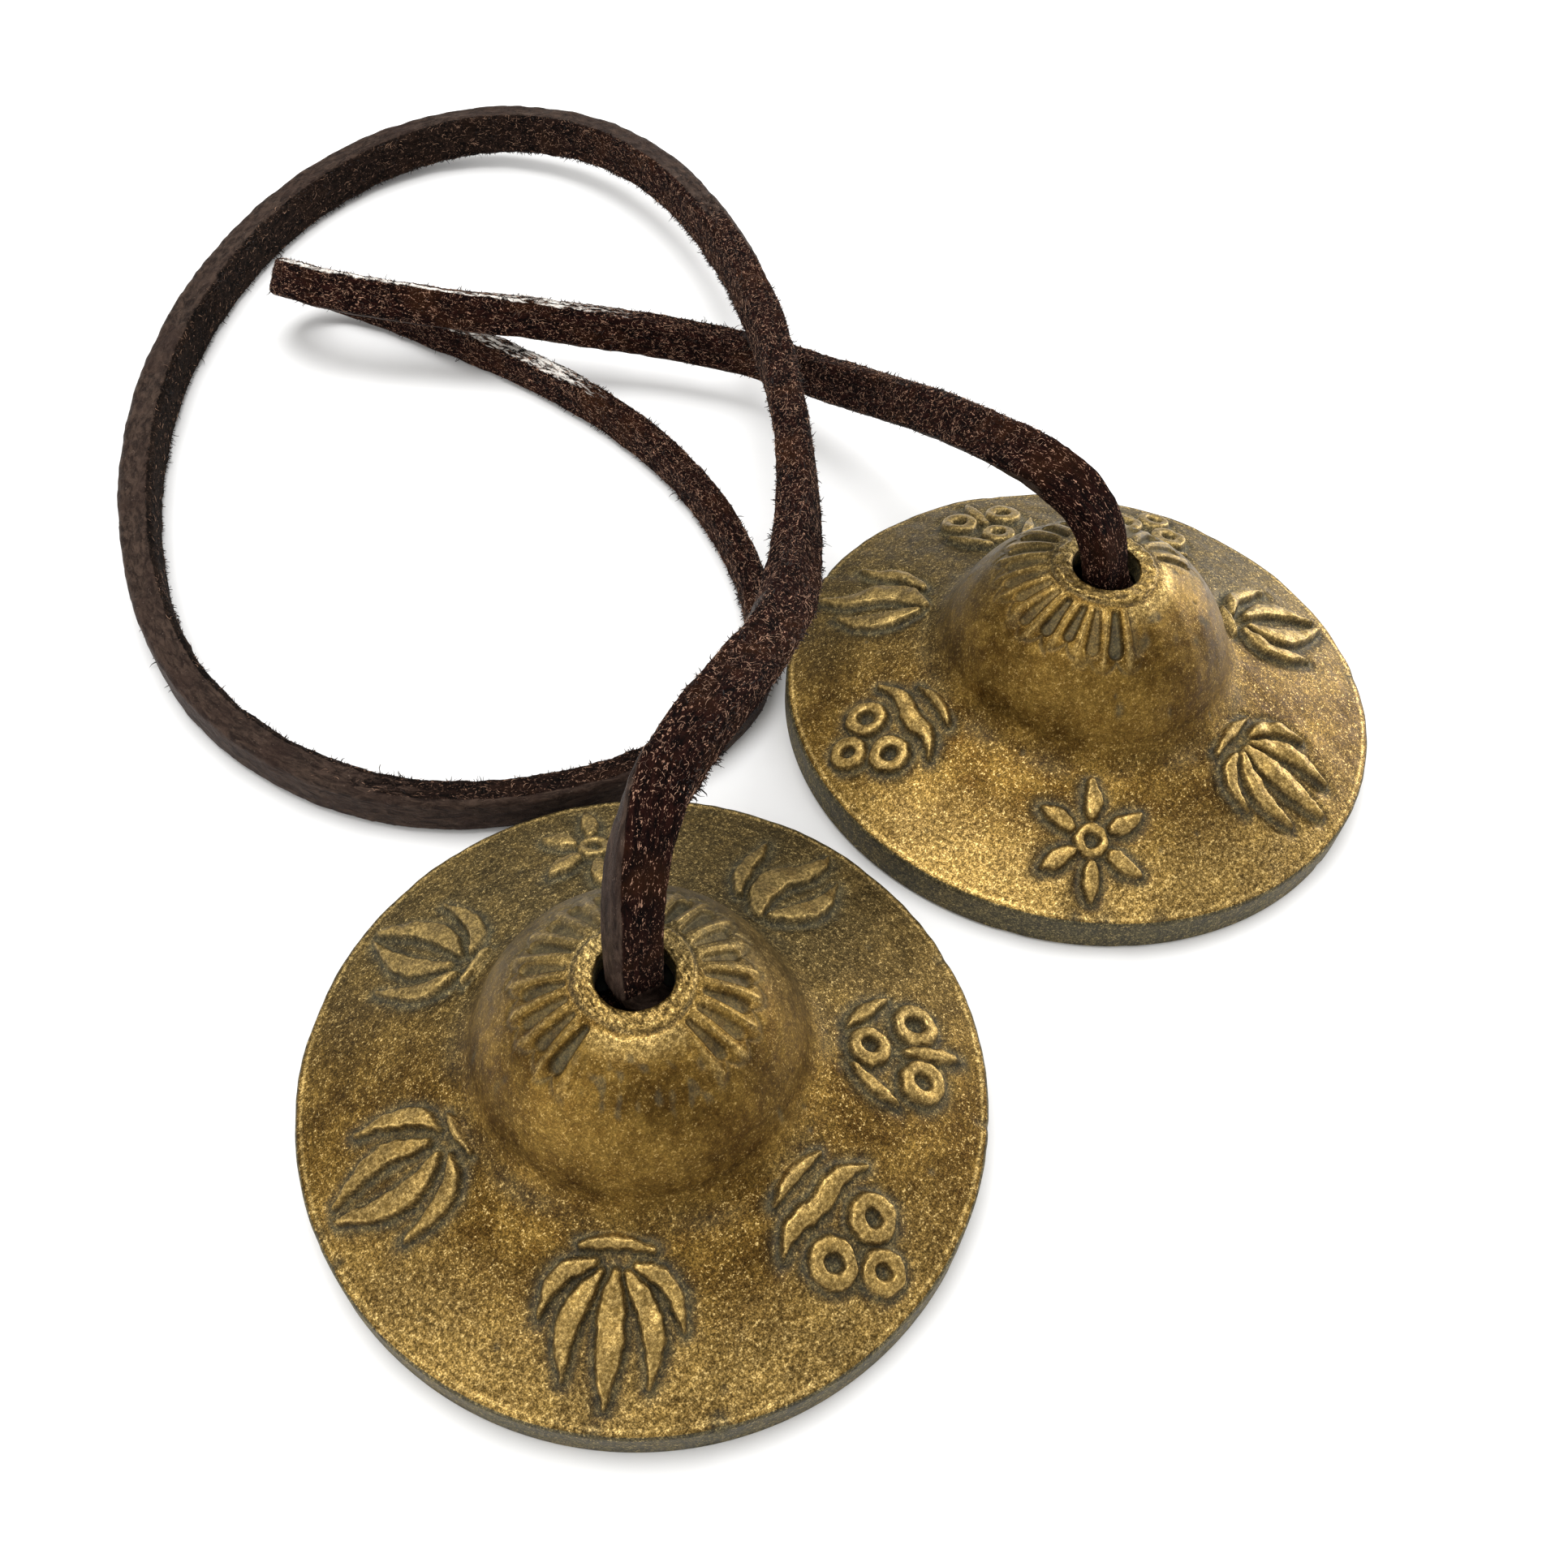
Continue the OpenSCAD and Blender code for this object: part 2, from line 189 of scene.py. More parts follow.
# ---------------------------------------------------------------- nodes
class Nodes:
    """Short calls for building a material's node tree."""

    def __init__(self, name):
        self.material = bpy.data.materials.new(name)
        self.material.use_nodes = True
        self.tree = self.material.node_tree
        self.shader = self.tree.nodes["Principled BSDF"]

    def put(self, socket, value):
        if isinstance(value, bpy.types.NodeSocket):
            self.tree.links.new(value, socket)
        else:
            socket.default_value = value

    def node(self, kind, inputs=None, **settings):
        n = self.tree.nodes.new(kind)
        for key, value in settings.items():
            setattr(n, key, value)
        for key, value in (inputs or {}).items():
            self.put(n.inputs[key], value)
        return n

    def set(self, **inputs):
        for key, value in inputs.items():
            self.put(self.shader.inputs[key.replace("_", " ")], value)

    def value(self, name):
        return self.node("ShaderNodeAttribute", attribute_name=name).outputs["Fac"]

    def vector(self, name, scale=(1, 1, 1)):
        a = self.node("ShaderNodeAttribute", attribute_name=name).outputs["Vector"]
        return self.node("ShaderNodeVectorMath", {0: a, 1: scale}, operation="MULTIPLY").outputs[0]

    def noise(self, vector, scale, detail=3.0, rough=0.55, distortion=0.0):
        return self.node("ShaderNodeTexNoise", {"Vector": vector, "Scale": scale, "Detail": detail,
                                                "Roughness": rough, "Distortion": distortion}).outputs["Fac"]

    def math(self, how, a, b=0.0, clamp=False):
        return self.node("ShaderNodeMath", {0: a, 1: b}, operation=how, use_clamp=clamp).outputs[0]

    def ramp(self, value, low, high, out_low=0.0, out_high=1.0):
        return self.node("ShaderNodeMapRange", {"Value": value, "From Min": low, "From Max": high,
                                                "To Min": out_low, "To Max": out_high},
                         interpolation_type="SMOOTHSTEP").outputs["Result"]

    def mix(self, amount, a, b):
        n = self.node("ShaderNodeMix", data_type="RGBA")
        self.put(n.inputs[0], amount)
        for socket, value in ((n.inputs[6], a), (n.inputs[7], b)):
            self.put(socket, value if isinstance(value, bpy.types.NodeSocket) else (*value, 1.0))
        return n.outputs[2]

    def bump(self, height, strength, distance_mm, normal=None):
        distance = distance_mm * MM
        n = self.node("ShaderNodeBump", {"Height": height, "Strength": strength, "Distance": distance})
        if normal is not None:
            self.put(n.inputs["Normal"], normal)
        return n.outputs["Normal"]


def srgb(r, g, b):
    """Linear colour from the usual 0-255 values."""
    return tuple(((c / 255 + 0.055) / 1.055) ** 2.4 if c > 10 else c / 255 / 12.92 for c in (r, g, b))


# ---------------------------------------------------------------- bronze
def bronze_material():
    m = Nodes("aged_bronze")
    pos = m.vector("pos_mm")
    ring = m.vector("ring_mm")
    patina_and_shade, wear_and_highlight, dull_and_reflection, calm = m.value("patina_and_shade"), m.value("wear_and_highlight"), m.value("dull_and_reflection"), m.value("calm")
    blotch = m.noise(pos, 0.16, 4.0, 0.6)
    mottle = m.noise(pos, 0.75, 4.0, 0.65)
    grain = m.noise(pos, 2.6, 3.0, 0.7)
    sparkle = m.noise(pos, 6.4, 2.0, 0.65)
    brushed = m.noise(ring, 1.0, 3.0, 0.6)

    gold = m.mix(m.ramp(mottle, 0.35, 0.68), srgb(106, 80, 34), srgb(134, 106, 50))
    brown = m.mix(m.ramp(mottle, 0.35, 0.65), srgb(74, 52, 18), srgb(98, 74, 31))
    olive = m.mix(m.ramp(mottle, 0.3, 0.7), srgb(84, 75, 48), srgb(110, 101, 72))
    base = m.mix(m.ramp(blotch, 0.36, 0.62), brown, gold)
    # Greyer olive: a painted greyer reflection on the disc's side away from the light and on the rim band, and
    # duller metal on the underside.
    base = m.mix(m.math("MULTIPLY", dull_and_reflection, m.ramp(mottle, 0.25, 0.7, 1.0, 0.62)), base, olive)
    base = m.mix(m.ramp(brushed, 0.40, 0.60, 0.25, 0.0), base, srgb(70, 54, 24))
    # Lighter gold: wear on the motif tops, the collar and the bare petals, and painted highlights on the motif
    # edges, the ribs, the rim's upper edge and the disc's lit side.
    base = m.mix(m.math("MULTIPLY", wear_and_highlight, m.ramp(grain, 0.35, 0.6, 0.35, 1.0)), base, srgb(200, 170, 106))
    patina = m.mix(m.ramp(mottle, 0.35, 0.65), srgb(52, 50, 35), srgb(84, 80, 58))
    # Patina in the hollows and pits; the same colour paints shade in the crease at the boss's foot and part of
    # a dark reflection on the rim band, and darkens the hole and the underside.
    base = m.mix(m.math("MULTIPLY", patina_and_shade, m.ramp(grain, 0.3, 0.6, 1.0, 0.75)), base, patina)
    # The grain of the casting, least where the metal is rubbed smooth.
    tone = m.math("MULTIPLY", m.ramp(grain, 0.36, 0.64, 0.62, 1.35), m.ramp(sparkle, 0.36, 0.64, 0.5, 1.6))
    tone = m.math("ADD", m.math("MULTIPLY", tone, m.math("SUBTRACT", 1.0, calm)), calm)
    base = m.node("ShaderNodeVectorMath", {0: base, "Scale": tone}, operation="SCALE").outputs[0]
    # Painted glints: bright specks painted into the colour over the casting's grain, fewer where it is smooth
    # and where there is patina.
    bright = m.math("MULTIPLY", m.ramp(grain, 0.54, 0.64), m.ramp(sparkle, 0.50, 0.6))
    speck = m.math("SUBTRACT", m.math("SUBTRACT", 0.8, calm), m.math("MULTIPLY", patina_and_shade, 0.6))
    bright = m.math("MULTIPLY", bright, speck, True)
    base = m.mix(bright, base, srgb(232, 204, 138))
    rough = m.math("ADD", m.ramp(mottle, 0.3, 0.7, 0.42, 0.56), m.math("MULTIPLY", patina_and_shade, 0.22))
    rough = m.math("SUBTRACT", rough, m.math("MULTIPLY", wear_and_highlight, 0.16))
    metal = m.math("SUBTRACT", 0.96, m.math("MULTIPLY", patina_and_shade, 0.45), True)
    n = m.bump(brushed, 0.3, 0.06)
    n = m.bump(grain, 0.5, 0.10, n)
    n = m.bump(sparkle, 0.5, 0.05, n)
    m.set(Base_Color=base, Roughness=rough, Metallic=metal, Normal=n)
    return m.material


BRONZE = bronze_material()

# Profile of the turned casting, as in part.scad.
RIM_R, RIM_T, TOP_Z, HOLE_R = 32.5, 4.4, 23.0, 3.5
EDGE_R, SLOPE_DEG = 0.6, 20.0
SLOPE = math.tan(math.radians(SLOPE_DEG))
FOOT_R, FOOT_DEG, FILLET_R, DOME_X = 15.2, 15.0, 4.0, 1.5
COLLAR_R, COLLAR_H, LIP_R = 5.4, 0.5, 0.35
PETALS = 24


def disc_z(r):
    return RIM_T + (RIM_R - EDGE_R - r) * SLOPE


FOOT_COS, FOOT_SIN = math.cos(math.radians(FOOT_DEG)), math.sin(math.radians(FOOT_DEG))
DOME_RX = (FOOT_R - DOME_X) / FOOT_COS
FILLET_X = FOOT_R + FILLET_R * FOOT_COS
FOOT_Z = disc_z(FILLET_X) + FILLET_R / math.cos(math.radians(SLOPE_DEG)) - FILLET_R * FOOT_SIN
DOME_RZ = (TOP_Z - COLLAR_H - FOOT_Z) / (math.sqrt(1 - ((COLLAR_R - DOME_X) / DOME_RX) ** 2) - FOOT_SIN)
DOME_Z = FOOT_Z - DOME_RZ * FOOT_SIN
FILLET_Z = FOOT_Z + FILLET_R * FOOT_SIN
HOLLOW_RX, HOLLOW_RZ, HOLLOW_Z = 11.1, 10.6, 10.0
RIM_INNER_R, UNDERCUT_R, UNDERCUT_Z, MOUTH_R, MOUTH_Z = 28.8, 26.5, 1.9, 15.0, 7.1


def arc(cx, cz, rx, rz, a, b, n):
    """n points (r, z) of an ellipse's arc from a to b degrees."""
    t = np.radians(np.linspace(a, b, n))
    return np.stack([cx + rx * np.cos(t), cz + rz * np.sin(t)], 1)


def turned_profile():
    """Closed (r, z) outline from the bottom of the hole, over the outside and back under.

    Each part is its spacing in mm and its corner points.
    """
    start = math.degrees(math.acos((COLLAR_R + 0.2 - DOME_X) / DOME_RX))
    parts = [
        (0.25, [[HOLE_R, HOLLOW_Z + HOLLOW_RZ - 0.35], [HOLE_R, TOP_Z - LIP_R - 0.1]]),
        (0.10, arc(HOLE_R + LIP_R, TOP_Z - LIP_R - 0.1, LIP_R, LIP_R, 180, 90, 8)),
        (0.12, arc(COLLAR_R - 0.55, TOP_Z - 0.5, 0.5, 0.45, 90, 20, 8)),
        (0.15, arc(DOME_X, DOME_Z, DOME_RX, DOME_RZ, start, FOOT_DEG, 60)),
        (0.20, arc(FILLET_X, FILLET_Z, FILLET_R, FILLET_R, 180 + FOOT_DEG, 270 - SLOPE_DEG, 22)),
        (0.19, [[RIM_R - EDGE_R - 0.35, disc_z(RIM_R - EDGE_R - 0.35)]]),
        (0.12, arc(RIM_R - EDGE_R, RIM_T - EDGE_R + 0.02, EDGE_R, EDGE_R, 82, 0, 10)),
        (0.35, [[RIM_R, 0.5]]),
        (0.15, arc(RIM_R - 0.45, 0.45, 0.45, 0.45, 0, -90, 6)),
        (0.5, [[RIM_INNER_R, 0.0]]),
        (0.4, [[UNDERCUT_R, UNDERCUT_Z]]),
        (0.6, [[MOUTH_R, MOUTH_Z]]),
        (0.3, arc(DOME_X, HOLLOW_Z, HOLLOW_RX, HOLLOW_RZ, 0, 77, 40)),
    ]
    points = [np.array(parts[0][1][0], float)]
    for spacing, line in parts:
        for q in np.asarray(line, float):
            d = np.linalg.norm(q - points[-1])
            if d < 1e-6:
                continue
            n = max(1, int(round(d / spacing)))
            p0 = points[-1]
            points += [p0 + (q - p0) * k / n for k in range(1, n + 1)]
    return np.array(points)


# Raised motifs, as in part.scad. Strokes are [across, outwards, half width] along their middle line.
# Rings are (across, outwards, outer radius, inner radius).
MOTIFS = {
    "lotus": {
        "strokes": [
            [[0, -3.4, 0.5], [0, -0.6, 1.4], [0, 2.6, 1.15], [0, 5.6, 0.15]],
            [[1.1, -3.4, 0.4], [3.0, -1.3, 1.15], [3.8, 1.2, 0.95], [3.5, 4.0, 0.15]],
            [[-1.1, -3.4, 0.4], [-3.0, -1.3, 1.15], [-3.8, 1.2, 0.95], [-3.5, 4.0, 0.15]],
            [[1.8, -4.0, 0.4], [4.0, -3.5, 0.9], [5.3, -2.0, 0.7], [5.9, 0, 0.15]],
            [[-1.8, -4.0, 0.4], [-4.0, -3.5, 0.9], [-5.3, -2.0, 0.7], [-5.9, 0, 0.15]],
            [[-3.0, -5.2, 0.25], [0, -5.7, 0.8], [3.0, -5.2, 0.25]]],
        "rings": []},
    "bud": {
        "strokes": [
            [[-0.6, -3.6, 0.4], [-2.3, -0.8, 1.3], [-1.9, 2.2, 1.1], [-0.1, 6.0, 0.15]],
            [[0.9, -3.4, 0.4], [2.3, -0.6, 1.2], [2.2, 2.0, 1.0], [0.8, 5.4, 0.15]],
            [[-1.2, -4.6, 0.3], [-3.6, -3.9, 1.0], [-4.9, -1.6, 0.85], [-5.3, 1.4, 0.15]],
            [[1.4, -4.6, 0.3], [3.8, -3.7, 1.0], [5.0, -1.2, 0.85], [5.6, 1.8, 0.15]],
            [[-2.0, -6.0, 0.2], [0.2, -5.9, 0.8], [2.2, -5.7, 0.2]]],
        "rings": []},
    "flame": {
        "strokes": [
            [[0.2, -5.6, 0.5], [-1.7, -3.0, 1.5], [-1.4, 0.2, 1.45], [0.8, 2.8, 1.0], [0.2, 6.0, 0.15]],
            [[1.2, -5.0, 0.5], [3.1, -2.6, 1.3], [3.9, 0.2, 0.95], [3.1, 3.2, 0.15]],
            [[-2.8, -4.6, 0.4], [-4.8, -1.9, 1.0], [-4.6, 0.9, 0.7], [-5.4, 3.4, 0.15]]],
        "rings": []},
    "cloud": {
        "strokes": [
            [[-5.4, -2.0, 0.2], [-2.7, -3.5, 1.0], [0, -2.3, 1.0], [2.7, -3.5, 1.0], [5.4, -2.0, 0.2]],
            [[-3.2, -5.2, 0.2], [-0.4, -5.8, 0.8], [2.8, -5.0, 0.2]]],
        "rings": [(-2.6, 0.8, 2.2, 0.75), (2.6, 0.8, 2.2, 0.75), (0, 3.9, 2.0, 0.65)]},
    "berries": {
        "strokes": [
            [[0, 5.2, 0.2], [0, 2.9, 0.95], [0, 0.4, 0.5]],
            [[-1.8, -4.6, 0.2], [-3.7, -3.0, 0.95], [-5.2, -0.9, 0.15]],
            [[1.8, -4.6, 0.2], [3.7, -3.0, 0.95], [5.2, -0.9, 0.15]]],
        "rings": [(-2.8, 1.4, 2.2, 0.8), (2.8, 1.4, 2.2, 0.8), (0, -2.9, 2.0, 0.7)]},
    "rosette": {"strokes": [], "rings": [(0, 0, 1.8, 0.7)]},
}
for turn in range(6):
    c, sn = math.cos(turn * math.pi / 3), math.sin(turn * math.pi / 3)
    petal = [[0, 2.3, 0.6], [0.15, 3.7, 1.2], [0, 5.5, 0.3]]
    MOTIFS["rosette"]["strokes"].append([[x * c - y * sn, x * sn + y * c, w] for x, y, w in petal])
MOTIF_R = 24.2
STRETCH_X, STRETCH_Y = 1.03, 1.1
MOTIF_HALF_X, MOTIF_HALF_Y = 8.0, 8.6  # the box round a motif and its moat
FAR = 9.0  # a distance that means well away
# Each cymbal's motifs as (direction in degrees, kind, mirrored), as in part.scad.
PLACES = {
    "front": [(163, "bud", False), (220, "lotus", False), (272, "cloud", False), (316, "berries", False),
              (7, "flame", False), (57, "rosette", False), (106, "bud", True)],
    "rear": [(219, "rosette", False), (274, "lotus", False), (329, "bud", True), (16, "cloud", False),
             (62, "berries", False), (110, "flame", True), (158, "cloud", False)],
}
# Middle direction and half width, in degrees, of the stretch where the petals are worn away.
PETALS_WORN = {"front": (-134.0, 36.0), "rear": (-78.0, 44.0)}


def curve(points, n):
    """n points along the B-spline of a short list of control points."""
    return b_spline(with_ends(np.array(points, float)), np.linspace(0, len(points) - 1 - 1e-9, n))


def motif_distance(x, y, kind):
    """Signed distance in mm from the edge of the motif's strokes, negative inside."""
    best = np.full(x.shape, FAR)
    for stroke in MOTIFS[kind]["strokes"]:
        for cx, cy, w in curve(np.array(stroke) * (STRETCH_X, STRETCH_Y, 1), 46):
            best = np.minimum(best, np.hypot(x - cx, y - cy) - w)
    for cx, cy, outer, inner in MOTIFS[kind]["rings"]:
        d = np.hypot(x - cx * STRETCH_X, y - cy * STRETCH_Y)
        best = np.minimum(best, np.maximum(d - outer, inner - d))
    return best


COLUMNS = 1080  # points round the casting
TABLE_Z = 0.4  # below this the casting rests on the table, and stays flat
BAND_R, BAND_Z = 32.0, 4.25  # the rim's upright band lies outside and below these
RIM_HIGHLIGHT_R = 31.85  # where a thin highlight is painted along the rim's upper edge
GROOVE_R = 5.45
# Radii over which the motifs' disc and the petals' zone begin and end.
DISC_FROM, DISC_TO = (16.9, 18.0), (31.5, 30.8)
ZONE_FROM, ZONE_TO = (5.5, 6.1), (12.0, 11.2)
PETAL_INNER, PETAL_OUTER = 6.3, 9.5
PETAL_PHASE = {"front": 0.2, "rear": 0.9}
PETAL_DEPTH, MOTIF_HEIGHT, MOAT_DEPTH = 0.68, 0.80, 0.16
LIT_SIDE = math.radians(-134)  # the side painted as lit: a painted highlight on its outer disc, and a painted greyer reflection away from it
PITS, NICKS = 34, 16


def bump_at(x, middle, width):
    """1 at the middle, falling away softly over about that width."""
    return np.exp(-((x - middle) / width) ** 2)


def highest(*fields):
    return np.maximum.reduce(fields)


def motif_fields(which, X, Y, top):
    """Distance from the nearest raised motif, and 1 inside the eyes of its rings."""
    gap = np.full(X.shape, FAR)
    eyes = np.zeros_like(X)
    for direction, kind, mirrored in PLACES[which]:
        a = math.radians(direction - 90)
        x = (X * math.cos(a) + Y * math.sin(a)) * (-1 if mirrored else 1)
        y = -X * math.sin(a) + Y * math.cos(a) - MOTIF_R
        near = (np.abs(x) < MOTIF_HALF_X) & (np.abs(y) < MOTIF_HALF_Y) & top
        gap[near] = np.minimum(gap[near], motif_distance(x[near], y[near], kind))
        for cx, cy, _, inner in MOTIFS[kind]["rings"]:
            d = np.hypot(x[near] - cx * STRETCH_X, y[near] - cy * STRETCH_Y)
            eyes[near] = np.maximum(eyes[near], smooth(d, inner + 0.1, inner - 0.2))
    return gap, eyes


def petal_fields(which, R, T, top, rng):
    """Petals pressed round the hole: the zone they fill, how well they are kept, and their shapes."""
    pitch = 2 * math.pi / PETALS
    turns = (T - PETAL_PHASE[which]) / pitch
    k = np.floor(turns)
    local = turns - k - 0.5
    k = k.astype(int) % PETALS

    def each(low, high):
        return rng.uniform(low, high, PETALS)[k]

    outer = PETAL_OUTER + each(-0.45, 0.45)
    wide = each(0.9, 1.12)
    along = np.clip(R, PETAL_INNER, outer)
    half = (0.25 + 0.10 * (along - PETAL_INNER)) * wide
    bent = local * pitch * R + 0.10 * (along - 8.0) * each(-1, 1)
    hollow = np.hypot(bent, (R - along) * 1.05) - half
    mid, half_angle = PETALS_WORN[which]
    off = np.abs((np.degrees(T) - mid + 180) % 360 - 180)
    kept = smooth(off + 5 * each(-1, 1), half_angle - 7, half_angle + 5)
    kept *= 0.75 + 0.25 * each(-1, 1)
    zone = smooth(R, *ZONE_FROM) * smooth(R, *ZONE_TO) * top
    scallop_r = outer + half + 0.95 - 1.0 * (1 - np.abs(local) * 2) ** 2.2
    rib = smooth(np.abs(bent) - half, 0.2, 0.75) * smooth(R, 6.0, 6.8)
    rib *= smooth(R, scallop_r + 0.2, scallop_r - 0.5)
    outline = bump_at(R, scallop_r + 0.25, 0.24) * zone * kept
    return zone, kept, hollow, rib, outline


def marks_of_use(X, Y, Z, R, T, top, rng):
    """Depth in mm of the pits on top and the nicks in the rim."""
    depth = np.zeros_like(R)
    for _ in range(PITS):
        a, at = math.radians(rng.uniform(-180, 180)), rng.uniform(9, 31)
        size, deep = rng.uniform(0.12, 0.4), rng.uniform(0.04, 0.13)
        d = np.hypot(X - at * math.cos(a), Y - at * math.sin(a))
        depth += deep * bump_at(d, 0, size) * top
    for _ in range(NICKS):
        a, z0 = rng.uniform(-math.pi, math.pi), rng.choice([4.1, 4.2, 0.6, 2.2])
        d = np.hypot((np.angle(np.exp(1j * (T - a)))) * RIM_R / rng.uniform(0.4, 1.1), (Z - z0) / 0.5)
        depth += rng.uniform(0.05, 0.16) * np.exp(-d ** 2) * (R > 31)
    return depth


def cymbal(which, seed):
    rng = np.random.default_rng(seed)
    profile = turned_profile()
    rows = len(profile)
    tangent = np.roll(profile, -1, 0) - np.roll(profile, 1, 0)
    tangent /= np.linalg.norm(tangent, axis=1)[:, None]
    R, T = np.meshgrid(profile[:, 0], np.arange(COLUMNS) * 2 * math.pi / COLUMNS, indexing="ij")
    # Height, and the outward direction: left of the way round the outline.
    Z, NR, NZ = (np.repeat(v[:, None], COLUMNS, 1) for v in (profile[:, 1], -tangent[:, 1], tangent[:, 0]))
    X, Y = R * np.cos(T), R * np.sin(T)
    flat = np.stack([X.ravel(), Y.ravel(), Z.ravel()], 1)
    top = (NZ > 0.25) & (R > 3.4)
    under = NZ < -0.2

    def soft(count, size):
        return waves(flat, rng, count, size).reshape(R.shape)

    # Soft unevenness of the casting, none where it would touch the table.
    shift = np.zeros_like(R)
    shift += 0.05 * soft(7, 9.0) * (Z > TABLE_Z)
    shift += 0.022 * soft(9, 3.2) * (Z > TABLE_Z)

    # Raised motifs, each in a faint moat.
    gap, eyes = motif_fields(which, X, Y, top)
    gap += 0.07 * soft(6, 2.4) + 0.05 * soft(6, 1.1)
    edge = smooth(gap, 0.16, -0.26)
    crown = smooth(-gap, 0.15, 1.2)
    fade = smooth(R, *DISC_FROM) * smooth(R, *DISC_TO)
    shift += (MOTIF_HEIGHT * edge + 0.12 * crown) * fade * (1 + 0.10 * soft(6, 3.0))
    shift -= MOAT_DEPTH * bump_at(gap, 0.55, 0.5) * fade * (gap > 0)

    # Petals round the hole: hollows with ribs between them, and a bare stretch.
    zone, kept, hollow, rib, outline = petal_fields(which, R, T, top, rng)
    shift += zone * kept * (-PETAL_DEPTH * smooth(hollow, 0.26, -0.16) + 0.14 * rib)
    shift -= 0.14 * outline
    shift -= zone * (1 - kept) * 0.10 * smooth(R, 6.0, 7.5) * smooth(R, 11.5, 9.5)

    # The collar's rough top, and the groove outside it.
    collar = (R > 3.6) & (R < COLLAR_R) & (Z > TOP_Z - 0.6)
    shift += collar * (0.07 * soft(10, 0.8) - 0.06)
    groove = bump_at(R - 0.12 * np.sin(3 * T + 1), GROOVE_R, 0.17) * (Z > TOP_Z - 2) * top
    groove *= 0.65 + 0.35 * soft(5, 4.0).clip(-1, 1)
    shift -= 0.17 * groove

    marks = marks_of_use(X, Y, Z, R, T, top, rng)
    shift -= marks
    r = np.minimum(R + NR * shift, RIM_R)
    z = np.clip(Z + NZ * shift, 0.0, TOP_Z)
    own = np.stack([r * np.cos(T), r * np.sin(T), z], -1).reshape(-1, 3)

    # Where patina sits, with painted shade in the boss's crease and a painted dark reflection on the rim band;
    # where the metal is worn bright, with painted highlights; where it is dull, with a painted greyer
    # reflection; and where its grain is rubbed smooth.
    band = (R > BAND_R) & (Z < BAND_Z)
    patina_and_shade = highest(
        bump_at(np.clip(gap, 0, FAR), 0, 0.85) * smooth(gap, -0.25, 0.15) * fade * 0.95,
        eyes * top,
        zone * kept * smooth(hollow, 0.2, -0.12) * 0.9,
        outline * 0.5,
        groove * 0.6,
        # Painted shade in the crease at the boss's foot.
        bump_at(R, 17.2, 1.0) * top * 0.35 * (0.5 + 0.5 * soft(6, 8.0).clip(-1, 1)),
        np.clip(marks / 0.1, 0, 1) * 0.6,
        0.55 * zone * (1 - kept) * smooth(soft(8, 2.4), 0.3, 1.3) * smooth(R, 6.6, 7.6),
        # The rim band: patina, and a painted dark reflection.
        band * (0.74 + 0.12 * soft(6, 9.0).clip(-1, 1)),
        # Darker down inside the hole and on the underside.
        (R < 3.7) * smooth(Z, TOP_Z - 0.25, TOP_Z - 0.8) * 0.95,
        under * (Z > TABLE_Z) * 0.55)
    lit = np.cos(T - LIT_SIDE)
    wear_and_highlight = highest(
        # Worn motif tops, and a painted highlight along the motif edges.
        (0.42 * smooth(gap, -0.1, -0.4) + 0.35 * bump_at(gap, -0.22, 0.14)) * fade,
        # Painted highlight on the petals' ribs.
        zone * kept * rib * 0.5,
        collar * 0.35,
        # Painted highlight along the rim's upper edge.
        bump_at(R, RIM_HIGHLIGHT_R, 0.16) * top * 0.6,
        zone * (1 - kept) * smooth(R, 8.2, 6.0) * 0.6,
        # Painted highlight on the outer disc's lit side.
        smooth(R, 20, 30) * smooth(lit, 0.2, 0.9) * top * 0.28 * (1 - smooth(patina_and_shade, 0.1, 0.5)))
    # Painted greyer reflection on the side away from the light and on the rim band; duller on the underside.
    dull_and_reflection = highest(smooth(lit, 0.35, -0.75) * 0.75 * top, band * 0.8, under * 0.7)
    calm = highest(smooth(R, 17.5, 14.5) * smooth(R, 5.0, 7.5) * top * 0.46, 0.5 * edge * fade)
    attributes = {
        "pos_mm": own,
        "ring_mm": np.stack([2.2 * np.cos(T), 2.2 * np.sin(T), 3.1 * R + 2.0 * Z], -1).reshape(-1, 3),
        "patina_and_shade": np.clip(patina_and_shade, 0, 1).ravel(), "wear_and_highlight": np.clip(wear_and_highlight, 0, 1).ravel(),
        "dull_and_reflection": np.clip(dull_and_reflection, 0, 1).ravel(), "calm": calm.ravel()}
    faces = grid_faces(rows, COLUMNS, close_rows=True)[:, ::-1]
    obj = make_mesh(f"cymbal_{which}_cast", own + [CENTRES[which], 0, 0], faces, attributes=attributes)
    obj.data.materials.append(BRONZE)
    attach(obj, f"cymbal_{which}")
    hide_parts(f"cymbal_{which}")


for which, seed in (("front", 11), ("rear", 23)):
    cymbal(which, seed)


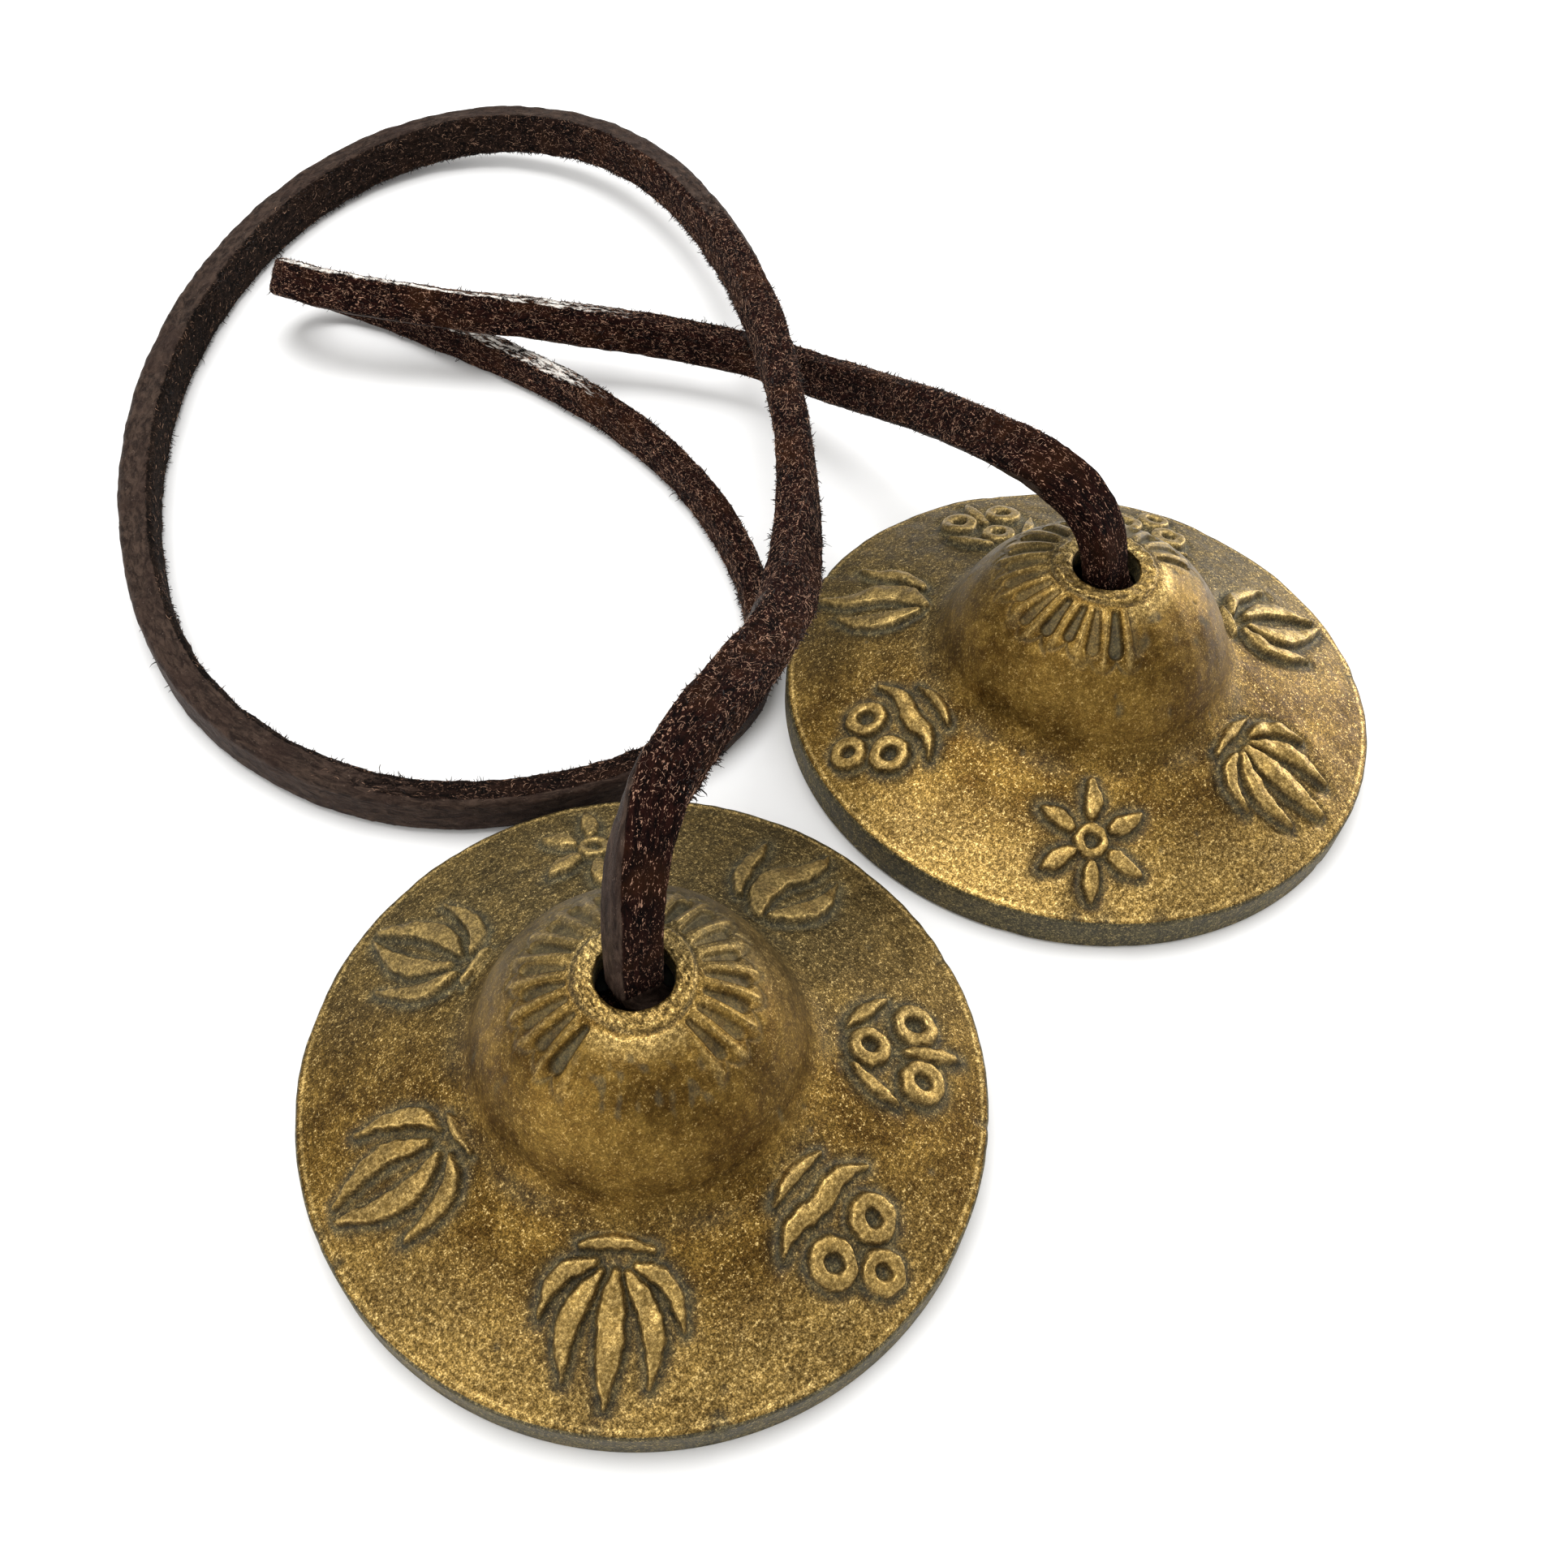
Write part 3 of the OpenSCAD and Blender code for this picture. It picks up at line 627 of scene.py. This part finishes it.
# ---------------------------------------------------------------- leather
def leather_material():
    m = Nodes("thong_leather")
    pos = m.vector("pos_mm")
    lengthwise = m.vector("strip_mm", (0.35, 1.0, 1.0))
    smooth_side, pale, dark = m.value("grain_side"), m.value("top_edge_highlight"), m.value("dark")
    blotch = m.noise(pos, 0.14, 4.0, 0.6)
    nap = m.noise(lengthwise, 1.5, 5.0, 0.72, 0.6)
    fleck = m.noise(m.vector("strip_mm", (0.8, 1.5, 1.5)), 2.6, 3.0, 0.7, 1.2)
    fine = m.noise(pos, 5.0, 3.0, 0.65)
    # The fibrous side, a darker copy of it for painted shade, the smooth side, lightened in part as a painted
    # sheen, and a painted highlight on the top edge.
    suede = m.mix(m.ramp(nap, 0.38, 0.66), srgb(6, 2, 2), srgb(34, 14, 10))
    suede = m.mix(m.ramp(blotch, 0.48, 0.70, 0.0, 0.5), suede, srgb(54, 30, 14))
    suede = m.mix(m.ramp(fleck, 0.595, 0.655, 0.0, 0.95), suede, srgb(182, 140, 116))
    # Painted shade: a darker, greyer copy of the suede, used along part of the loop.
    shade = m.mix(m.ramp(nap, 0.36, 0.66), srgb(9, 7, 6), srgb(34, 27, 22))
    shade = m.mix(m.ramp(fleck, 0.60, 0.70, 0.0, 0.4), shade, srgb(92, 78, 64))
    suede = m.mix(dark, suede, shade)
    # The smooth side, its colour lightened to paint in part of its sheen.
    grain = m.mix(m.ramp(nap, 0.35, 0.7), srgb(32, 23, 19), srgb(76, 61, 52))
    grain = m.mix(m.ramp(blotch, 0.42, 0.7, 0.0, 0.5), grain, srgb(48, 34, 29))
    grain = m.mix(m.ramp(fleck, 0.62, 0.72, 0.0, 0.45), grain, srgb(128, 110, 98))
    side = m.ramp(m.math("ADD", smooth_side, m.ramp(nap, 0.3, 0.7, -0.2, 0.2)), 0.3, 0.7)
    base = m.mix(side, suede, grain)
    # Painted highlight: near-white on the top edge in places.
    highlight_share = m.ramp(m.math("ADD", pale, m.ramp(nap, 0.35, 0.65, -0.35, 0.2)), 0.45, 0.8)
    base = m.mix(highlight_share, base, srgb(236, 230, 222))
    rough = m.node("ShaderNodeMix", data_type="FLOAT")
    m.put(rough.inputs[0], side)
    rough.inputs[2].default_value = 0.92
    rough.inputs[3].default_value = 0.5
    n = m.bump(nap, 0.9, 0.4)
    n = m.bump(fine, 0.6, 0.14, n)
    m.set(Base_Color=base, Roughness=rough.outputs[0], Normal=n)
    m.shader.inputs["Specular IOR Level"].default_value = 0.05
    return m.material


LEATHER = leather_material()
HALF_W, HALF_T, CORNER = 2.5, 1.8, 0.85
# Direction of the wide side along the route, as in part.scad: [point number, x, y, z].
WIDE = [[0, -0.97, 0.24, 0], [3, -0.97, 0.24, 0], [8, 0, 0, 1], [27, 0, 0, 1], [28, 0.6, 0.2, 0.75],
        [31, 0.6, 0.2, 0.75], [33, 0, 0, 1], [36, 0.6, 0, 0.6], [38, 1, 0, 0], [39, 1, 0, 0]]
# How much thicker the leather is along the route, as cut: [point number, factor].
THICK = [[0, 0.9], [2.5, 1.0], [6, 1.1], [9, 1.2], [13, 1.3], [16, 1.24], [19, 1.05], [22, 0.92], [27, 0.95],
         [30, 1.06], [35, 1.04], [37, 1.0], [39, 0.88]]
# Direction that the smooth side faces: [point number, x, y, z].
SMOOTH = [[0, -0.97, 0.24, 0], [3.5, -0.97, 0.24, 0], [5, -0.7, 0.6, -0.3], [6, 0, 0, -1], [7.6, 0, 0, -1],
          [9, 0.95, -0.3, 0.4], [12, 0.8, 0.5, 0.8], [14, -0.2, 0.8, 0.8], [17, -0.8, 0.3, 0.8],
          [18.5, -0.9, -0.1, 0.5], [20, -0.5, -0.8, 0.2], [22, 0.3, -0.9, 0.2], [23, 0.6, -0.5, -0.6],
          [24, 0, 0, -1], [39, 0, 0, -1]]
# How strong the painted highlight on the top edge is: [point number, share].
HIGHLIGHT_ALONG = [[0, 0], [24.2, 0], [25, 0.75], [26.2, 0.5], [26.6, 0], [28.2, 0], [29, 0.95], [32.0, 0.7],
        [32.6, 0.25], [33, 0], [39, 0]]
# Where the suede takes its painted shade: [point number, share].
DARK = [[0, 0.1], [5, 0.0], [10, 0.0], [12, 0.7], [18, 0.9], [20, 0.5], [22, 0.2], [24, 0.0], [39, 0.0]]


def section(n_arc=5, n_wide=9, n_thin=6):
    """Rounded rectangle: points of the middle box and the directions to push out by the corner radius."""
    core, out = [], []
    w, t = HALF_W - CORNER, HALF_T - CORNER
    corners = [(w, t, 0), (-w, t, 90), (-w, -t, 180), (w, -t, 270)]
    for k, (x, y, start) in enumerate(corners):
        for a in np.radians(np.linspace(start, start + 90, n_arc)):
            core.append((x, y))
            out.append((math.cos(a), math.sin(a)))
        x2, y2, _ = corners[(k + 1) % 4]
        n = n_wide if k % 2 == 0 else n_thin
        for f in np.linspace(0, 1, n + 1)[1:-1]:
            core.append((x + (x2 - x) * f, y + (y2 - y) * f))
            out.append((math.cos(math.radians(start + 90)), math.sin(math.radians(start + 90))))
    return np.array(core), np.array(out)


CORE, OUT = section()


def frames(points, wide):
    """Unit tangent, wide and thin directions along a line."""
    t = np.gradient(points, axis=0)
    t /= np.linalg.norm(t, axis=1)[:, None]
    w = wide - np.sum(wide * t, 1)[:, None] * t
    w /= np.linalg.norm(w, axis=1)[:, None]
    return t, w, np.cross(t, w)


def strip(points, wide, thick):
    """Ring points and their outward directions, both (rings, section, 3)."""
    _, w, n = frames(points, wide)
    flat = CORE[None] * thick[:, None, None] + CORNER * OUT[None] * thick[:, None, None]
    ring = points[:, None] + flat[..., :1] * w[:, None] + flat[..., 1:] * n[:, None]
    out = OUT[None, :, :1] * w[:, None] + OUT[None, :, 1:] * n[:, None]
    return ring, out


def eased(values, reach=14):
    """A table's values along the line, with the corners of its straight runs rounded off."""
    kernel = np.hanning(2 * reach + 3)[1:-1]
    padded = np.pad(values, ((reach, reach), (0, 0)), mode="edge")
    return np.stack([np.convolve(column, kernel / kernel.sum(), "valid") for column in padded.T], 1)


STEP = 0.42  # mm between rings
SECTION_R = 2.7  # mean radius of the section, for the pattern round it
SKIN_Z = 0.06  # the leather's lowest skin, just clear of the table
N_RINGS = int(ROUTE_LENGTH / STEP)
S_ALL = np.linspace(0, ROUTE_LENGTH, N_RINGS)
U_ALL = u_of(S_ALL)
P_ALL = on_route(U_ALL)
WIDE_ALL = eased(lookup(U_ALL, WIDE))
THICK_ALL = eased(lookup(U_ALL, THICK))[:, 0]
# Where the leather is cut wider it still rests on the table.
P_ALL[:, 2] += HALF_W * np.clip(THICK_ALL - 1, 0, 1) * smooth(P_ALL[:, 2], 12.0, 5.0)
RING_ALL, OUT_ALL = strip(P_ALL, WIDE_ALL, THICK_ALL)


def round_the_strip(s, angle):
    """Pattern space of the leather: along the strip, and round its section. (rings, section, 3)."""
    return np.stack(np.broadcast_arrays(
        s[:, None], SECTION_R * np.cos(angle)[None], SECTION_R * np.sin(angle)[None]), -1)


def thong_surface():
    """The whole thong's rings with their unevenness, and the values that its material reads."""
    rng = np.random.default_rng(5)
    flat = RING_ALL.reshape(-1, 3)
    clear_of_ends = smooth(U_ALL, 0.6, 3.2) * smooth(U_ALL, LAST - 0.6, LAST - 2.6)
    bend_zone = np.repeat(clear_of_ends[:, None], len(CORE), 1)
    bumps = (0.06 * waves(flat, rng, 7, 9.0) + 0.04 * waves(flat, rng, 9, 2.2)).reshape(bend_zone.shape)
    g = lookup(U_ALL, SMOOTH)
    g /= np.linalg.norm(g, axis=1)[:, None]
    facing = np.einsum("ijk,ik->ij", OUT_ALL, g)
    grain = smooth(facing, 0.25, 0.55)
    rough = (0.055 * waves(flat, rng, 10, 0.9)).reshape(bend_zone.shape)
    moved = RING_ALL + OUT_ALL * ((bumps + rough * (1 - 0.75 * grain)) * (0.25 + 0.75 * bend_zone))[..., None]
    moved[..., 2] = np.maximum(moved[..., 2], SKIN_Z)
    # The painted highlight falls on the faces that look up.
    pale = lookup(U_ALL, HIGHLIGHT_ALONG)[:, 0][:, None] * smooth(OUT_ALL[..., 2], 0.8, 0.96)
    around = np.r_[0, np.cumsum(np.linalg.norm(np.diff((CORE + CORNER * OUT), axis=0), axis=1))]
    a = around / (around[-1] + 0.4) * 2 * math.pi
    strip_mm = round_the_strip(S_ALL, a)
    dark = np.broadcast_to(lookup(U_ALL, DARK), pale.shape)
    return moved, grain, pale, strip_mm, dark


SURFACE, GRAIN, HIGHLIGHT_RINGS, STRIP_MM, DARKNESS = thong_surface()


def ring_normals(ring):
    """Unit normals of a grid of rings."""
    du = np.gradient(ring, axis=0)
    dv = np.roll(ring, -1, 1) - np.roll(ring, 1, 1)
    n = np.cross(dv, du)
    return n / np.linalg.norm(n, axis=2)[..., None]


TANGENTS = frames(P_ALL, WIDE_ALL)[0]
NORMALS = ring_normals(SURFACE)
if np.sum(NORMALS * OUT_ALL) < 0:
    NORMALS = -NORMALS


def closed_tube(ring):
    """Points, quads and end triangles of a tube of rings that is closed by a middle point at each end."""
    rows, cols = ring.shape[:2]
    verts = np.concatenate([ring.reshape(-1, 3), ring[:1].mean(1), ring[-1:].mean(1)])
    j = np.arange(cols)
    start, end = rows * cols, rows * cols + 1
    caps = np.concatenate([
        np.stack([np.full(cols, start), (j + 1) % cols, j], 1),
        np.stack([np.full(cols, end), (rows - 1) * cols + j, (rows - 1) * cols + (j + 1) % cols], 1)])
    return verts, grid_faces(rows, cols), caps


def strip_piece(name, first, last, body):
    """A closed length of the thong between two ring numbers, both shown."""
    sl = slice(first, last + 1)
    verts, quads, caps = closed_tube(SURFACE[sl])
    normals = np.concatenate([NORMALS[sl].reshape(-1, 3), [-TANGENTS[first]], [TANGENTS[last]]])

    def values(v):
        flat = v[sl].reshape(len(verts) - 2, -1)
        flat = np.concatenate([flat, v[first].mean(0).reshape(1, -1), v[last].mean(0).reshape(1, -1)])
        return flat[:, 0] if v.ndim == 2 else flat

    attributes = {"pos_mm": verts, "strip_mm": values(STRIP_MM), "grain_side": values(GRAIN),
                  "top_edge_highlight": values(HIGHLIGHT_RINGS), "dark": values(DARKNESS)}
    obj = make_mesh(name, verts, quads, caps, attributes, normals)
    obj.data.materials.append(LEATHER)
    if body:
        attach(obj, body)
    return obj


def ring_at(u):
    """Number of the ring nearest to point number u of the route."""
    return int(np.argmin(np.abs(U_ALL - u)))


# The two leads, split off near each end of the loop.
SPLIT_FRONT, SPLIT_REAR = ring_at(2.6), ring_at(LAST - 2.3)
main = strip_piece("thong_loop", SPLIT_FRONT, SPLIT_REAR, "thong")
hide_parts("thong")
lead_front = strip_piece("thong_lead_front", 0, SPLIT_FRONT, None)
lead_rear = strip_piece("thong_lead_rear", SPLIT_REAR, N_RINGS - 1, None)
for lead, node, u, way in ((lead_front, "neck_front", 1, 1), (lead_rear, "neck_rear", LAST - 1, -1)):
    ahead = on_route(u + 0.5 * way)[0] - on_route(u - 0.5 * way)[0]
    ahead /= np.linalg.norm(ahead)
    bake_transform(lead)
    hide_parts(node)


# ---------------------------------------------------------------- knots
KNOT_RINGS = 150
KNOT_LEAD, KNOT_EASINGS = 12, 12  # rings that keep the strip's direction, and rounds of smoothing
KNOT_DROP = 6.3  # from the end of the straight stretch to the middle of the knot
# The strip's line in the knot, from the knot's middle: (across, third, down).
KNOT_LINE = [
    [0, 0, -KNOT_DROP], [0.2, 0.2, -4.6], [1.6, 0.9, -2.6], [3.4, 0.6, -0.4], [3.3, -2.4, 1.6],
    [0.4, -3.9, 1.7], [-2.9, -2.6, 0.2], [-3.7, 0.8, -1.4], [-1.5, 3.4, -1.7], [1.6, 3.6, -0.2],
    [2.5, 1.6, 2.0], [0.6, -0.4, 2.2], [-2.0, 0.6, 1.7], [-4.6, 2.6, 1.2], [-6.4, 4.2, 1.1]]
# How thick the strip is along the knot, drawn tight in its middle: ring numbers and factors.
KNOT_THICK = [0, 14, 30, 120, KNOT_RINGS - 1], [0.88, 0.74, 0.66, 0.66, 0.8]


def knot(which, at, before, ring_wide, seed):
    """An overhand knot in the end of the strip, drawn up under the boss, with a short cut tail."""
    end = on_route(at)[0]
    down = end - on_route(before)[0]
    down /= np.linalg.norm(down)
    across = np.cross(down, [0.3, 1.0, 0.0])
    across /= np.linalg.norm(across)
    third = np.cross(down, across)
    centre = end + down * KNOT_DROP
    pts = curve(KNOT_LINE, KNOT_RINGS)
    line = centre + pts[:, :1] * across + pts[:, 1:2] * third + pts[:, 2:] * down
    wide = np.cross(np.gradient(line, axis=0), line - centre)
    wide[:KNOT_LEAD] = ring_wide
    for _ in range(KNOT_EASINGS):
        unit = wide / np.linalg.norm(wide, axis=1)[:, None]
        wide[1:-1] = unit[:-2] + unit[2:]
    ring, out = strip(line, wide, np.interp(np.arange(KNOT_RINGS), *KNOT_THICK))
    rng = np.random.default_rng(seed)
    bumps = (0.05 * waves(ring.reshape(-1, 3), rng, 8, 1.4)).reshape(ring.shape[:2])
    verts, quads, caps = closed_tube(ring + out * bumps[..., None])
    s = np.r_[0, np.cumsum(np.linalg.norm(np.diff(line, axis=0), axis=1))]
    strip_mm = round_the_strip(s, np.arange(len(CORE)) / len(CORE) * 2 * math.pi)
    strip_mm = np.concatenate([strip_mm.reshape(-1, 3), [[0, 0, 0]], [[s[-1], 0, 0]]])
    grain = np.r_[np.tile(smooth(-OUT[:, 1], 0.3, 0.7), KNOT_RINGS), 0, 0]
    obj = make_mesh(f"knot_{which}_tied", verts, quads, caps,
                    {"pos_mm": verts, "strip_mm": strip_mm, "grain_side": grain, "top_edge_highlight": grain * 0,
                     "dark": grain * 0})
    obj.data.materials.append(LEATHER)
    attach(obj, f"end_{which}")
    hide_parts(f"knot_{which}")
    return obj


knots = [knot("front", 0, 1, WIDE_ALL[0], 31), knot("rear", LAST, LAST - 1, WIDE_ALL[-1], 37)]


# ---------------------------------------------------------------- fibres
NAP_HAIRS, FUZZ_HAIRS = 9500, 6500
# A hair's sections: their places along it, and their sizes.
HAIR_STEPS, HAIR_SIZES = np.array([0.0, 0.3, 0.65, 1.0]), np.array([1.0, 0.85, 0.6, 0.22])
HAIR_SIDES = 3
HAIR_LOW_Z, TIP_LOW_Z = 0.02, 0.12  # no part of a hair is lower, and no tip of the fuzz
BARE_RINGS = 4  # without hairs, at each end of the loop


def fibre_material(name, dark, light):
    m = Nodes(name)
    pos = m.vector("pos_mm")
    tone = m.noise(pos, 0.9, 2.0, 0.5)
    m.set(Base_Color=m.mix(m.ramp(tone, 0.35, 0.65), dark, light), Roughness=0.85,
          Normal=m.bump(m.noise(pos, 9.0, 2.0, 0.5), 0.2, 0.02))
    return m.material


def fibres(name, roots, tips, bows, radii, material, body):
    """Fine tapered hairs as closed three-sided tubes, each bent by bow."""
    n = len(roots)
    d = tips - roots
    t = HAIR_STEPS[None, :, None]
    line = roots[:, None] + d[:, None] * t + bows[:, None] * (4 * t * (1 - t))
    tangent = d / np.linalg.norm(d, axis=1)[:, None]
    helper = np.where(np.abs(tangent[:, 2:]) < 0.8, [[0, 0, 1.0]], [[1.0, 0, 0]])
    a = np.cross(tangent, helper)
    a /= np.linalg.norm(a, axis=1)[:, None]
    b = np.cross(tangent, a)
    size = radii[:, None] * HAIR_SIZES[None]
    ang = np.arange(HAIR_SIDES) * 2 * math.pi / HAIR_SIDES
    round_it = (np.cos(ang)[None, None, :, None] * a[:, None, None]
                + np.sin(ang)[None, None, :, None] * b[:, None, None])
    ring = line[:, :, None] + size[:, :, None, None] * round_it
    verts = ring.reshape(-1, 3)
    verts[:, 2] = np.maximum(verts[:, 2], HAIR_LOW_Z)
    steps = len(HAIR_STEPS)
    first = (np.arange(n) * steps * HAIR_SIDES)[:, None, None]
    quads = (grid_faces(steps, HAIR_SIDES)[None] + first).reshape(-1, 4)
    end = (steps - 1) * HAIR_SIDES
    tris = (np.array([[0, 2, 1], [end, end + 1, end + 2]])[None] + first).reshape(-1, 3)
    obj = make_mesh(name, verts, quads, tris, {"pos_mm": verts})
    obj.data.materials.append(material)
    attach(obj, body)
    return obj


def thong_fibres():
    """The nap that lies along the fibrous side, and the fuzz that stands out of its edges."""
    rng = np.random.default_rng(17)
    cols = len(CORE)
    first, last = SPLIT_FRONT + BARE_RINGS, SPLIT_REAR - BARE_RINGS
    suede = 1 - GRAIN

    def pick(weights, count):
        p = weights[first:last].ravel()
        p = p / p.sum()
        k = rng.choice(len(p), count, p=p)
        return first + k // cols, k % cols

    # Nap: short pale hairs that lie along the suede.
    n = NAP_HAIRS
    # Fewer where the suede takes its painted shade.
    i, j = pick(suede * (1.0 - 0.75 * DARKNESS) * (OUT_ALL[..., 2] > -0.5), n)
    root, out, along = SURFACE[i, j], NORMALS[i, j], TANGENTS[i]
    turn = rng.uniform(-math.pi, math.pi, n)[:, None]
    lie = np.cos(turn) * along + np.sin(turn) * np.cross(out, along) * 0.7
    length = rng.uniform(0.35, 1.1, n)[:, None]
    bow = (rng.uniform(-0.25, 0.25, n)[:, None] * np.cross(out, lie) + 0.06 * out) * length
    tip = root + lie * length + out * rng.uniform(-0.02, 0.1, n)[:, None]
    nap = fibres("thong_nap", root - 0.02 * out, tip, bow, rng.uniform(0.022, 0.042, n),
                 fibre_material("nap_hair", srgb(64, 38, 28), srgb(176, 138, 112)), "thong")

    # Fuzz: dark hairs that stand out of the lower and inner edges, and a few elsewhere.
    corner = np.abs(OUT[:, 0] * OUT[:, 1]) > 0.25
    low = smooth(-OUT_ALL[..., 2], -0.1, 0.6)
    weights = suede * (0.06 + corner[None] * (0.25 + low)) * (SURFACE[..., 2] > 0.5)
    clump = 0.15 + smooth(waves(SURFACE.reshape(-1, 3), rng, 8, 5.0).reshape(weights.shape), -0.2, 1.2)
    n = FUZZ_HAIRS
    i, j = pick(weights * clump, n)
    root, out, along = SURFACE[i, j], NORMALS[i, j], TANGENTS[i]
    lean = rng.normal(size=(n, 3)) * 0.45
    way = out + lean + rng.uniform(-0.6, 0.6, n)[:, None] * along
    way[:, 2] = np.maximum(way[:, 2], -0.35)
    way /= np.linalg.norm(way, axis=1)[:, None]
    length = (0.2 + rng.gamma(1.2, 0.16, n)).clip(0.2, 1.1)[:, None]
    tip = root + way * length
    tip[:, 2] = np.maximum(tip[:, 2], TIP_LOW_Z)
    bow = rng.normal(size=(n, 3)) * 0.14 * length
    fuzz = fibres("thong_fuzz", root - 0.04 * out, tip, bow, rng.uniform(0.045, 0.09, n),
                  fibre_material("fuzz_hair", srgb(16, 10, 8), srgb(48, 30, 22)), "thong")
    return [nap, fuzz]


hairs = thong_fibres()


# ---------------------------------------------------------------- floor and light
FLOOR_HALF, FLOOR_Z = 3.0, -0.00004  # metres


def studio():
    m = Nodes("paper")
    tc = m.node("ShaderNodeTexCoord").outputs["Object"]
    tone = m.ramp(m.noise(tc, 60.0, 3.0), 0.3, 0.7)
    m.set(Base_Color=m.mix(tone, (0.9, 0.9, 0.9), (0.93, 0.93, 0.93)), Roughness=0.9)
    me = bpy.data.meshes.new("table")
    h, z = FLOOR_HALF, FLOOR_Z
    me.from_pydata([(-h, -h, z), (h, -h, z), (h, h, z), (-h, h, z)], [], [(0, 1, 2, 3)])
    floor = bpy.data.objects.new("table", me)
    me.materials.append(m.material)
    bpy.context.scene.collection.objects.link(floor)

    world = bpy.data.worlds.new("studio")
    world.use_nodes = True
    bg = world.node_tree.nodes["Background"]
    bg.inputs["Color"].default_value = (1.0, 0.99, 0.97, 1.0)
    bg.inputs["Strength"].default_value = 0.82
    bpy.context.scene.world = world
    lights = [  # name, position, aim, size (m), power (W)
        ("overhead", (0.03, 0.17, 0.70), (0.0, 0.03, 0.0), 0.50, 3.6),
        ("right_window", (0.75, -0.15, 0.20), (0.02, 0.03, 0.0), 0.40, 3.0),
        ("left_window", (-0.70, 0.05, 0.22), (0.0, 0.03, 0.0), 0.40, 1.3),
    ]
    for name, at, aim, size, power in lights:
        data = bpy.data.lights.new(name, "AREA")
        data.shape = "DISK"
        data.size = size
        data.energy = power
        light = bpy.data.objects.new(name, data)
        light.location = at
        light.rotation_euler = (Vector(aim) - Vector(at)).to_track_quat("-Z", "Y").to_euler()
        bpy.context.scene.collection.objects.link(light)


studio()
bpy.context.scene.view_settings.view_transform = "Standard"
